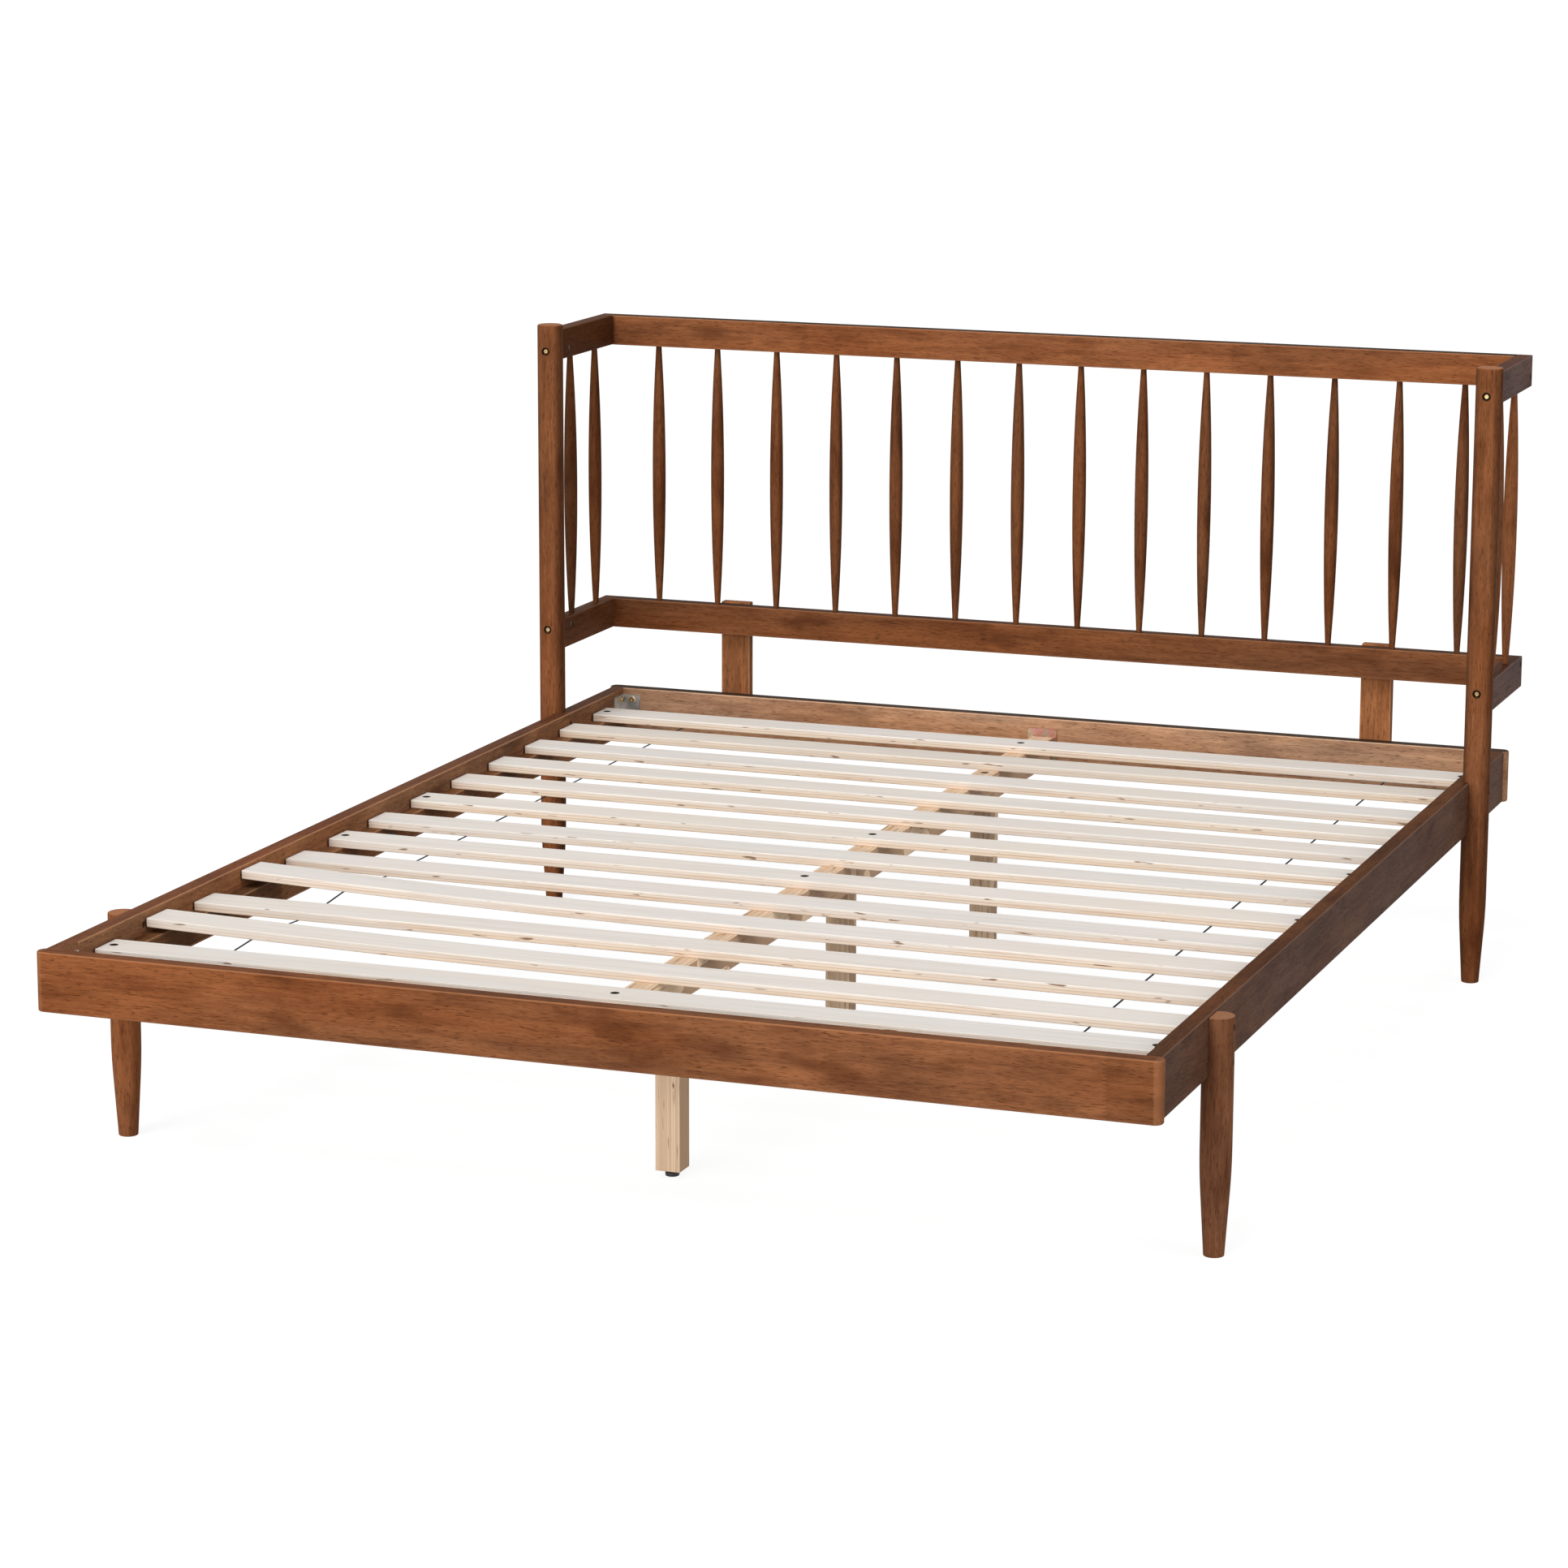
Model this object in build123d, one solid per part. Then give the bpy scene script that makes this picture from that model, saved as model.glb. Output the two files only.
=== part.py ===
from build123d import *
import math
import os

# A queen-size platform bed: boards on edge, turned legs and posts, a spindle headboard with
# short wings, loose plywood slats, and a centre beam on three legs with levelling glides.
# X runs across the bed, +Y towards the head, Z up. The origin is on the floor under the centre.

# Mattress space
mattress_width = 1540.0  # clear width between the side rails
mattress_length = 2042.0  # clear length between the foot rail and the head rail

# Bed rails
board = 25.0  # thickness of every rail
rail_depth = 85.0
rail_top = 331.0
end_overhang = 6.0  # foot and head rails run past the side rails
end_round_flat = 1.0  # flat left between the two round corners of a rail end
rail_edge = 2.5
thin_edge = 1.5

# Legs and posts
leg_radius = 21.6
foot_radius = 14.0
foot_edge = 1.5
taper_height = 118.0
taper_blend = 1000.0
leg_offset = 8.0  # leg axis outside the side rail's outer face
front_leg_setback = 262.0  # leg axis behind the foot rail's face
post_setback = 270.0  # post axis before the head rail's back
leg_top_drop = 3.5  # front leg's top under the rail's top
leg_top_edge = 1.2
post_rise = 10.0  # post's top over the upper rails
post_top_edge = 3.0
notch_gap = 0.2

# Headboard
head_board_depth = 51.0
upper_rail_top = 986.5
lower_rail_top = 489.5
cope_gap = 0.1
spindle_count = 14
spindle_margin = 82.0  # first back spindle from the wing's inner face
wing_spindle_count = 2
wing_spindle_pitch = 109.0
wing_spindle_back = 63.5  # last wing spindle before the back rail's middle
spindle_end_radius = 4.75
spindle_mid_radius = 11.4
tenon_length = 15.0
tenon_gap = 0.1
strut_width = 52.0
strut_thickness = 18.0
strut_spread = 571.0  # strut centre from the bed's middle
strut_rise = 2.5  # strut's top over the lower rail's top
strut_foot_rise = 5.0  # strut's bottom over the head rail's bottom
strut_screw_side = 13.0
strut_screw_rise = 14.0

# Slats, cleats and centre beam
slat_count = 13
slat_width = 61.5
slat_thickness = 13.0
slat_drop = 19.0  # slat top under the rail's top
slat_end_gap = 3.0  # slat end to side rail
slat_edge = 1.0
first_slat_gap = 84.0
last_slat_gap = 87.0
# The slats lie as a hand has laid them: how far each end is from its even place.
laid_left = [2, 5, 1, 3, -1, -3, -12, -5, 2, 0, 0, -2, -4]
laid_right = [4, -15, -12, -14, -20, -18, -6, -11, -9, -17, -23, -5, -10]
curled_slats = {2: 9.0, 4: 14.0}  # how far a warped slat's left end has risen
slat_hole_inset = 13.5
strap_width = 2.6
strap_thickness = 1.0
strap_left = 602.0
strap_right = 632.0
strap_tail = 12.0
staple_crown = 4.6
staple_wire = 0.7
cleat_width = 25.0
cleat_height = 38.0
cleat_end_gap = 3.0
cleat_screw_count = 7
cleat_screw_inset = 60.0
beam_width = 36.5
beam_depth = 44.0
beam_end_gap = 0.3
centre_leg_side = 36.5
centre_leg_edge = 0.8
centre_leg_base = 10.0
front_centre_leg_inset = 350.0  # front leg's middle behind the foot rail's face
rear_centre_leg_inset = 345.0  # rear leg's middle before the head rail's back
middle_centre_leg_shift = -3.0  # middle leg from halfway between the other two

# Levelling glides
glide_radius = 10.0
glide_height = 6.5
glide_edge = 1.5
stem_radius = 4.0
stem_length = 26.0
stem_gap = 0.15
insert_radius = 6.0
insert_length = 13.0
insert_gap = 0.1
stem_well = 14.0  # free hole over the stem's end

# Corner brackets and beam hangers
bracket_plate = 3.0
bracket_side_leg = 47.0
bracket_end_leg = 30.0
bracket_height = 50.0
bracket_drop = 11.0  # bracket top under the rail's top
bracket_bolt_out = 12.5  # bolt from the corner
bracket_bolt_inset = 8.5  # bolt from the bracket's top or bottom
rebate_depth = 3.2
rebate_gap = 1.0
hanger_plate = 2.0
hanger_width = 51.0
hanger_rise = 14.0
hanger_reach = 16.0
hanger_gap = 0.3
hanger_corner = 6.0
hanger_screw_inset = 12.0

# Fasteners
bolt_radius = 3.0
bolt_head_radius = 5.0
bolt_head_height = 3.0
bolt_head_edge = 0.6
bolt_key = 4.0
bolt_key_depth = 1.8
bolt_hole_gap = 0.2
bolt_sink = 5.0
leg_bolt_spread = 47.0
bracket_bolt_length = 17.0
wing_bolt_rise = 17.0  # from the upper rails' underside
wing_bolt_fall = 13.0  # from the lower rails' top
nut_reach = 34.0  # barrel nut's axis from the rail's end
nut_radius = 5.0
nut_length = 16.0
nut_sink = 1.0
nut_gap = 0.1
bolt_past_nut = 7.0
sleeve_length = 12.0
sleeve_sink = 2.0
screw_radius = 2.2
screw_head_radius = 4.6
screw_head_height = 3.2
screw_slot_width = 1.2
screw_slot_length = 6.8
screw_slot_depth = 1.4
screw_gap = 0.1
slat_screw_length = 30.0
slat_screw_sink = 1.5
cleat_screw_length = 42.0
strut_screw_length = 36.0
hanger_screw_length = 20.0
leg_screw_radius = 3.5
leg_screw_head_radius = 7.0
leg_screw_head_height = 4.0
leg_screw_length = 90.0
dowel_radius = 4.0
dowel_length = 40.0
back_dowel_length = 36.0
dowel_gap = 0.1
dowel_inset = 14.0
cut_over = 1.0  # how far a cut runs past the face it opens

# Places worked out from the sizes above
rail_in = mattress_width / 2
rail_out = rail_in + board
rail_bottom = rail_top - rail_depth
rail_middle = rail_top - rail_depth / 2
foot_face = -(mattress_length + 2 * board + strut_thickness) / 2
foot_in = foot_face + board
head_in = foot_in + mattress_length
head_back = head_in + board
leg_x = rail_out + leg_offset
post_top = upper_rail_top + post_rise
front_leg_y = foot_face + front_leg_setback
post_y = head_back - post_setback
wing_in = leg_x - board / 2
wing_out = leg_x + board / 2
back_middle = head_back - board / 2
slat_top = rail_top - slat_drop
slat_bottom = slat_top - slat_thickness
slat_length = mattress_width - 2 * slat_end_gap
screwed_slats = [1, slat_count // 2, slat_count // 2 + 2, slat_count]
beam_bottom = slat_bottom - beam_depth
front_centre_leg_y = foot_face + front_centre_leg_inset
rear_centre_leg_y = head_back - rear_centre_leg_inset
middle_centre_leg_y = (front_centre_leg_y + rear_centre_leg_y) / 2 + middle_centre_leg_shift
centre_legs = {"front": front_centre_leg_y, "middle": middle_centre_leg_y, "rear": rear_centre_leg_y}
cleat_in = rail_in - cleat_width
upper_bottom = upper_rail_top - head_board_depth
lower_bottom = lower_rail_top - head_board_depth
upper_bolt_z = upper_bottom + wing_bolt_rise
lower_bolt_z = lower_rail_top - wing_bolt_fall
upper_dowel_z = upper_rail_top - dowel_inset
lower_dowel_z = lower_bottom + dowel_inset
leg_bolt_heights = [rail_middle - leg_bolt_spread / 2, rail_middle + leg_bolt_spread / 2]
bracket_top = rail_top - bracket_drop
bracket_bottom = bracket_top - bracket_height
bracket_bolt_heights = [bracket_bottom + bracket_bolt_inset, bracket_top - bracket_bolt_inset]
bolt_hole = bolt_radius + bolt_hole_gap
spindle_pitch = 2 * (wing_in - spindle_margin) / (spindle_count - 1)
sides = {"left": -1, "right": 1}
on_base = (Align.CENTER, Align.CENTER, Align.MIN)


# A box between two corners
def block(x_range, y_range, z_range):
    size = [abs(r[1] - r[0]) for r in (x_range, y_range, z_range)]
    middle = [(r[1] + r[0]) / 2 for r in (x_range, y_range, z_range)]
    return Pos(*middle) * Box(*size)


# A round bar from a point along a direction
def rod(start, direction, radius, length):
    return Plane(origin=start, z_dir=direction) * Cylinder(radius, length, align=on_base)


# Something drawn with its axis on Z, set at a point and facing a direction
def face_out(shape, start, direction):
    return Plane(origin=start, z_dir=direction) * shape


def soften(shape, radius):
    return fillet(shape.edges(), radius)


# A board with its end corners rounded almost to a half round
def round_ended_board(half_length, y_range, z_range):
    length = 2 * half_length
    corner = (board - end_round_flat) / 2
    outline = RectangleRounded(length, board, corner)
    body = extrude(outline, z_range[1] - z_range[0])
    rims = body.edges().group_by(Axis.Z)
    body = fillet(rims[0] + rims[-1], rail_edge)
    return Pos(0, (y_range[0] + y_range[1]) / 2, z_range[0]) * body


# A bolt with its head's underside on the origin and its shank down Z
def socket_bolt(shank_length):
    head = Cylinder(bolt_head_radius, bolt_head_height, align=on_base)
    head = fillet(head.edges().group_by(Axis.Z)[-1], bolt_head_edge)
    key = extrude(RegularPolygon(bolt_key / 2, 6, major_radius=False), bolt_key_depth)
    shank = rod((0, 0, 0), (0, 0, -1), bolt_radius, shank_length)
    return head - Pos(0, 0, bolt_head_height - bolt_key_depth) * key + shank


# The space a sunk bolt needs: a counterbore over a through hole
def bolt_space(length):
    bore = rod((0, 0, 0), (0, 0, 1), bolt_head_radius + bolt_hole_gap, 2 * bolt_sink)
    return bore + rod((0, 0, 0), (0, 0, -1), bolt_hole, length)


# A countersunk screw with its head's top on the origin
def wood_screw(radius, head_radius, head_height, length):
    head = Pos(0, 0, -head_height) * Cone(radius, head_radius, head_height, align=on_base)
    shank = rod((0, 0, 0), (0, 0, -1), radius, length)
    slot = Box(screw_slot_length, screw_slot_width, 2 * screw_slot_depth)
    return head + shank - slot - Rot(0, 0, 90) * slot


def screw_space(radius, head_radius, head_height, length, sink):
    wide = head_radius + screw_gap
    cone = Pos(0, 0, -head_height) * Cone(radius + screw_gap, wide, head_height, align=on_base)
    shank = rod((0, 0, 0), (0, 0, -1), radius + screw_gap, length)
    return cone + shank + rod((0, 0, 0), (0, 0, 1), wide, sink)


def small_screw(length):
    return wood_screw(screw_radius, screw_head_radius, screw_head_height, length)


def small_screw_space(length, sink):
    return screw_space(screw_radius, screw_head_radius, screw_head_height, length, sink)


# A turned leg: straight above, tapering to its foot below
def turned_leg(height, top_edge):
    outline = Polyline(
        (0, 0),
        (foot_radius, 0),
        (leg_radius, taper_height),
        (leg_radius, height),
        (0, height),
        (0, 0),
    )
    face = make_face(Plane.XZ * outline)
    corners = (
        (leg_radius, taper_height, taper_blend),
        (foot_radius, 0, foot_edge),
        (leg_radius, height, top_edge),
    )
    for x, z, radius in corners:
        corner = face.vertices().sort_by_distance((x, 0, z))[0]
        face = fillet(corner, radius)
    return revolve(face, Axis.Z)


# A spindle: one long swell between two tenons
def turned_spindle():
    low = lower_rail_top
    high = upper_bottom
    middle = (low + high) / 2
    radius = spindle_end_radius
    axis = Line((0, high + tenon_length), (0, low - tenon_length))
    bottom = Polyline((0, low - tenon_length), (radius, low - tenon_length), (radius, low))
    swell = ThreePointArc((radius, low), (spindle_mid_radius, middle), (radius, high))
    top = Polyline((radius, high), (radius, high + tenon_length), (0, high + tenon_length))
    face = make_face(Plane.XZ * (axis + bottom + swell + top))
    return revolve(face, Axis.Z)


def spindle_mortises(x, y):
    radius = spindle_end_radius + tenon_gap
    depth = tenon_length + tenon_gap
    over = rod((x, y, upper_bottom), (0, 0, 1), radius, depth)
    under = rod((x, y, lower_rail_top), (0, 0, -1), radius, depth)
    return over + under


def back_spindle_places():
    first = -(spindle_count - 1) * spindle_pitch / 2
    return [(first + i * spindle_pitch, back_middle) for i in range(spindle_count)]


def wing_spindle_places(side):
    last = back_middle - wing_spindle_back
    return [(side * leg_x, last - i * wing_spindle_pitch) for i in range(wing_spindle_count)]


# Bed rails
def end_rail(y_range):
    return round_ended_board(rail_out + end_overhang, y_range, (rail_bottom, rail_top))


def side_rail(side):
    rail = block((side * rail_in, side * rail_out), (foot_in, head_in), (rail_bottom, rail_top))
    rail = fillet(rail.edges().filter_by(Axis.Y), rail_edge)
    for end, away in ((foot_in, 1), (head_in, -1)):
        rebate_x = (side * (rail_in - rebate_gap), side * (rail_in + rebate_depth))
        rebate_y = (end - away * rebate_gap, end + away * (bracket_side_leg + rebate_gap))
        rail -= block(rebate_x, rebate_y, (bracket_bottom - rebate_gap, rail_top + rebate_gap))
    for y in (front_leg_y, post_y):
        for z in leg_bolt_heights:
            rail -= rod((side * rail_out, y, z), (-side, 0, 0), bolt_hole, board)
            pocket = sleeve_sink + sleeve_length
            rail -= rod((side * rail_in, y, z), (side, 0, 0), nut_radius + nut_gap, pocket)
    for screw in cleat_screw_places(side):
        rail -= face_out(small_screw_space(cleat_screw_length, 0), screw, (-side, 0, 0))
    for spot, way in bracket_bolt_places(side, "side"):
        rail -= rod(spot, (side, 0, 0), bolt_hole, bracket_plate + bracket_bolt_length)
    return rail


# Corner brackets: one steel angle in each inside corner
def corner_angle(side, end, away):
    outer = side * (rail_in + rebate_depth)
    inner = outer - side * bracket_plate
    height = (bracket_bottom, bracket_top)
    long_leg = block((outer, inner), (end, end + away * bracket_side_leg), height)
    short_reach = (outer, side * (rail_in - bracket_end_leg))
    short_leg = block(short_reach, (end, end + away * bracket_plate), height)
    return long_leg + short_leg


def rail_ends():
    return ((foot_in, 1), (head_in, -1))


# Bolt places on one bracket leg, with the way each bolt's head faces
def bracket_bolt_places(side, leg):
    places = []
    for end, away in rail_ends():
        for z in bracket_bolt_heights:
            if leg == "side":
                x = side * (rail_in + rebate_depth - bracket_plate)
                places.append(((x, end + away * bracket_bolt_out, z), (-side, 0, 0)))
            else:
                x = side * (rail_in - bracket_bolt_out - bracket_plate)
                places.append(((x, end + away * bracket_plate, z), (0, away, 0)))
    return places


def corner_brackets():
    hole = rod((0, 0, cut_over), (0, 0, -1), bolt_hole, bracket_plate + 2 * cut_over)
    angles = []
    for side in sides.values():
        for end, away in rail_ends():
            angle = corner_angle(side, end, away)
            for leg in ("side", "end"):
                for spot, way in bracket_bolt_places(side, leg):
                    angle -= face_out(hole, spot, way)
            angles.append(angle)
    return angles


def bracket_bolts():
    bolt = socket_bolt(bracket_bolt_length)
    places = []
    for side in sides.values():
        places += bracket_bolt_places(side, "side") + bracket_bolt_places(side, "end")
    return [face_out(bolt, spot, way) for spot, way in places]


# Beam hangers: a plate on each end rail with a seat and two cheeks round the beam
def hanger(end, away):
    half = beam_width / 2 + hanger_gap
    low = beam_bottom - hanger_gap - hanger_plate
    high = slat_bottom + hanger_rise
    plate = block((-hanger_width / 2, hanger_width / 2), (end, end + away * hanger_plate), (low, high))
    top_corners = plate.edges().filter_by(Axis.Y).group_by(Axis.Z)[-1]
    plate = fillet(top_corners, hanger_corner)
    reach = (end + away * hanger_plate, end + away * hanger_reach)
    seat = block((-half - hanger_plate, half + hanger_plate), reach, (low, low + hanger_plate))
    for side in (-1, 1):
        seat += block((side * half, side * (half + hanger_plate)), reach, (low, slat_bottom - hanger_gap))
    body = plate + seat
    for spot in hanger_screw_places(end, away):
        body -= face_out(small_screw_space(hanger_screw_length, cut_over), spot, (0, away, 0))
    return body


def hanger_screw_places(end, away):
    y = end + away * hanger_plate
    heights = (beam_bottom + hanger_screw_inset, slat_bottom - hanger_screw_inset)
    return [(0, y, z) for z in heights]


def hanger_screws():
    screw = small_screw(hanger_screw_length)
    screws = []
    for end, away in rail_ends():
        screws += [face_out(screw, spot, (0, away, 0)) for spot in hanger_screw_places(end, away)]
    return screws


def bored_end_rail(end, away):
    rail = end_rail((end, end - away * board))
    for spot in hanger_screw_places(end, away):
        rail -= face_out(small_screw_space(hanger_screw_length, 0), spot, (0, away, 0))
    for side in sides.values():
        for spot, way in bracket_bolt_places(side, "end"):
            if way == (0, away, 0):
                rail -= rod(spot, (0, -away, 0), bolt_hole, bracket_bolt_length + bracket_plate)
    if away == -1:
        for spot in strut_screw_places(rail_middle, leg_bolt_spread / 2):
            rail -= face_out(small_screw_space(strut_screw_length, 0), spot, (0, 1, 0))
    return rail


# Front legs stop just under the rail's top; head posts run on up past it
def front_leg(side):
    leg = Pos(side * leg_x, front_leg_y, 0) * turned_leg(rail_top - leg_top_drop, leg_top_edge)
    leg -= rail_notch(side, front_leg_y)
    return leg - leg_bolt_holes(side, front_leg_y)


def head_post(side):
    post = Pos(side * leg_x, post_y, 0) * turned_leg(post_top, post_top_edge)
    post -= rail_notch(side, post_y)
    post -= leg_bolt_holes(side, post_y)
    front = post_y - leg_radius + bolt_sink
    for z in (upper_bolt_z, lower_bolt_z):
        post -= face_out(bolt_space(2 * leg_radius), (side * leg_x, front, z), (0, -1, 0))
    for z in (upper_dowel_z, lower_dowel_z):
        post -= wing_dowel(side, z, dowel_gap)
    return post


def rail_notch(side, y):
    reach = (side * (rail_in - notch_gap), side * (rail_out + notch_gap))
    width = (y - 2 * leg_radius, y + 2 * leg_radius)
    return block(reach, width, (rail_bottom - notch_gap, rail_top + notch_gap))


def leg_bolt_holes(side, y):
    face = side * (leg_x + leg_radius - bolt_sink)
    holes = [face_out(bolt_space(2 * leg_radius), (face, y, z), (side, 0, 0)) for z in leg_bolt_heights]
    return holes[0] + holes[1]


def leg_bolts():
    face = leg_x + leg_radius - bolt_sink
    tip = rail_in + sleeve_sink + bolt_hole_gap
    bolt = socket_bolt(face - tip)
    bolts = []
    for side in sides.values():
        for y in (front_leg_y, post_y):
            bolts += [face_out(bolt, (side * face, y, z), (side, 0, 0)) for z in leg_bolt_heights]
    return bolts


def sleeve_nuts():
    ring = rod((0, 0, 0), (0, 0, 1), nut_radius, sleeve_length)
    ring -= rod((0, 0, 0), (0, 0, 1), bolt_hole, sleeve_length)
    nuts = []
    for side in sides.values():
        for y in (front_leg_y, post_y):
            for z in leg_bolt_heights:
                nuts.append(face_out(ring, (side * (rail_in + sleeve_sink), y, z), (side, 0, 0)))
    return nuts


# Wing rails run from the post's back to the rear corner
def wing_rail(side, z_range, bolt_z, dowel_z):
    rail = block((side * wing_in, side * wing_out), (post_y, head_back), z_range)
    rail = soften(rail, thin_edge)
    rail -= rod((side * leg_x, post_y, z_range[0]), (0, 0, 1), leg_radius + cope_gap, head_board_depth)
    bolt_run = leg_radius + nut_reach + 2 * nut_radius
    rail -= rod((side * leg_x, post_y, bolt_z), (0, 1, 0), bolt_hole, bolt_run)
    nut_hole = (nut_radius + nut_gap, nut_sink + nut_length)
    rail -= rod((side * wing_in, front_nut_y(), bolt_z), (side, 0, 0), *nut_hole)
    bolt_seat = (side * (wing_out - bolt_sink), back_middle, bolt_z)
    rail -= face_out(bolt_space(2 * board), bolt_seat, (side, 0, 0))
    rail -= wing_dowel(side, dowel_z, dowel_gap)
    rail -= back_dowel(side, dowel_z, dowel_gap)
    for x, y in wing_spindle_places(side):
        rail -= spindle_mortises(x, y)
    return rail


def front_nut_y():
    return post_y + leg_radius + nut_reach


# Wooden dowels beside each headboard bolt
def wing_dowel(side, z, gap):
    start = (side * leg_x, post_y + leg_radius - dowel_length / 2 - gap, z)
    return rod(start, (0, 1, 0), dowel_radius + gap, dowel_length + 2 * gap)


def back_dowel(side, z, gap):
    start = (side * (wing_in - dowel_length / 2 - gap), back_middle, z)
    return rod(start, (side, 0, 0), dowel_radius + gap, back_dowel_length + 2 * gap)


def locating_dowels():
    dowels = []
    for side in sides.values():
        for z in (upper_dowel_z, lower_dowel_z):
            dowels += [wing_dowel(side, z, 0), back_dowel(side, z, 0)]
    return dowels


# Back rails lie between the wings, bolted through them at each end
def back_rail(z_range, bolt_z, dowel_z):
    rail = block((-wing_in, wing_in), (head_in, head_back), z_range)
    rail = fillet(rail.edges().filter_by(Axis.X), thin_edge)
    bolt_run = nut_reach + 2 * nut_radius
    nut_hole = (nut_radius + nut_gap, nut_sink + nut_length)
    for side in sides.values():
        rail -= rod((side * wing_in, back_middle, bolt_z), (-side, 0, 0), bolt_hole, bolt_run)
        nut_x = side * (wing_in - nut_reach)
        rail -= rod((nut_x, head_back, bolt_z), (0, -1, 0), *nut_hole)
        rail -= back_dowel(side, dowel_z, dowel_gap)
    for x, y in back_spindle_places():
        rail -= spindle_mortises(x, y)
    return rail


def lower_back_rail():
    rail = back_rail((lower_bottom, lower_rail_top), lower_bolt_z, lower_dowel_z)
    for spot in strut_screw_places((lower_bottom + lower_rail_top) / 2, strut_screw_rise):
        rail -= face_out(small_screw_space(strut_screw_length, 0), spot, (0, 1, 0))
    return rail


# Headboard bolts and the barrel nuts they pull on
def post_bolts():
    face = post_y - leg_radius + bolt_sink
    bolt = socket_bolt(front_nut_y() + bolt_past_nut - face)
    bolts = []
    for side in sides.values():
        for z in (upper_bolt_z, lower_bolt_z):
            bolts.append(face_out(bolt, (side * leg_x, face, z), (0, -1, 0)))
    return bolts


def rear_bolts():
    face = wing_out - bolt_sink
    bolt = socket_bolt(face - wing_in + nut_reach + bolt_past_nut)
    bolts = []
    for side in sides.values():
        for z in (upper_bolt_z, lower_bolt_z):
            bolts.append(face_out(bolt, (side * face, back_middle, z), (side, 0, 0)))
    return bolts


def barrel_nuts():
    nuts = []
    for side in sides.values():
        for z in (upper_bolt_z, lower_bolt_z):
            start = (side * (wing_in + nut_sink), front_nut_y(), z)
            wing_nut = rod(start, (side, 0, 0), nut_radius, nut_length)
            bolt_run = leg_radius + nut_reach + 2 * nut_radius
            nuts.append(wing_nut - rod((side * leg_x, post_y, z), (0, 1, 0), bolt_hole, bolt_run))
            start = (side * (wing_in - nut_reach), head_back - nut_sink, z)
            back_nut = rod(start, (0, -1, 0), nut_radius, nut_length)
            bolt_run = nut_reach + 2 * nut_radius
            bolt_start = (side * wing_in, back_middle, z)
            nuts.append(back_nut - rod(bolt_start, (-side, 0, 0), bolt_hole, bolt_run))
    return nuts


# Back struts tie the headboard to the head rail
def back_strut(side):
    middle = side * strut_spread
    x_range = (middle - strut_width / 2, middle + strut_width / 2)
    z_range = (rail_bottom + strut_foot_rise, lower_rail_top + strut_rise)
    strut = soften(block(x_range, (head_back, head_back + strut_thickness), z_range), thin_edge)
    for spot in all_strut_screws():
        strut -= face_out(small_screw_space(strut_screw_length, cut_over), spot, (0, 1, 0))
    return strut


def strut_screw_places(height, rise):
    back = head_back + strut_thickness
    places = []
    for side in sides.values():
        for across in (-strut_screw_side, strut_screw_side):
            spread = rise if across > 0 else -rise
            places.append((side * strut_spread + across, back, height + spread))
    return places


def all_strut_screws():
    upper = strut_screw_places((lower_bottom + lower_rail_top) / 2, strut_screw_rise)
    return upper + strut_screw_places(rail_middle, leg_bolt_spread / 2)


def strut_screws():
    screw = small_screw(strut_screw_length)
    return [face_out(screw, spot, (0, 1, 0)) for spot in all_strut_screws()]


# Cleats carry the slats' ends
def slat_cleat(side):
    ends = (foot_in + bracket_side_leg + cleat_end_gap, head_in - bracket_side_leg - cleat_end_gap)
    cleat = block((side * cleat_in, side * rail_in), ends, (slat_bottom - cleat_height, slat_bottom))
    cleat = soften(cleat, thin_edge)
    for spot in cleat_screw_places(side):
        cleat -= face_out(small_screw_space(cleat_screw_length, cut_over), spot, (-side, 0, 0))
    for spot in slat_screw_places():
        cleat -= face_out(small_screw_space(slat_screw_length, 0), spot, (0, 0, 1))
    return cleat


def cleat_screw_places(side):
    start = foot_in + bracket_side_leg + cleat_screw_inset
    span = mattress_length - 2 * (bracket_side_leg + cleat_screw_inset)
    step = span / (cleat_screw_count - 1)
    height = slat_bottom - cleat_height / 2
    return [(side * cleat_in, start + i * step, height) for i in range(cleat_screw_count)]


def cleat_screws():
    screw = small_screw(cleat_screw_length)
    screws = []
    for side in sides.values():
        screws += [face_out(screw, spot, (-side, 0, 0)) for spot in cleat_screw_places(side)]
    return screws


# Where a slat lies: its middle, and its turn about Z
def slat_place(number):
    span = mattress_length - first_slat_gap - last_slat_gap - slat_width
    even = foot_in + first_slat_gap + slat_width / 2 + (number - 1) * span / (slat_count - 1)
    left = even + laid_left[(number - 1) % len(laid_left)]
    right = even + laid_right[(number - 1) % len(laid_right)]
    turn = math.degrees(math.atan2(right - left, slat_length))
    return Pos(0, (left + right) / 2, 0) * Rot(0, 0, turn)


# A warped slat lies flat on its right half and curls up along an arc on its left
def curled_board(lift):
    half = slat_length / 2
    under = Line((half, slat_bottom), (0, slat_bottom))
    under += TangentArc((0, slat_bottom), (-half, slat_bottom + lift), tangent=(-1, 0))
    over = Line((half, slat_top), (0, slat_top))
    over += TangentArc((0, slat_top), (-half, slat_top + lift), tangent=(-1, 0))
    left_end = Line((-half, slat_bottom + lift), (-half, slat_top + lift))
    right_end = Line((half, slat_bottom), (half, slat_top))
    face = make_face(Plane.XZ * (under + over + left_end + right_end))
    return extrude(face, slat_width / 2, both=True)


# The height of a slat's underside at a place across the bed
def slat_under(number, x):
    lift = curled_slats.get(number, 0)
    if lift == 0 or x > 0:
        return slat_bottom
    arc_radius = ((slat_length / 2) ** 2 + lift**2) / (2 * lift)
    return slat_bottom + arc_radius - math.sqrt(arc_radius**2 - x**2)


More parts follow.
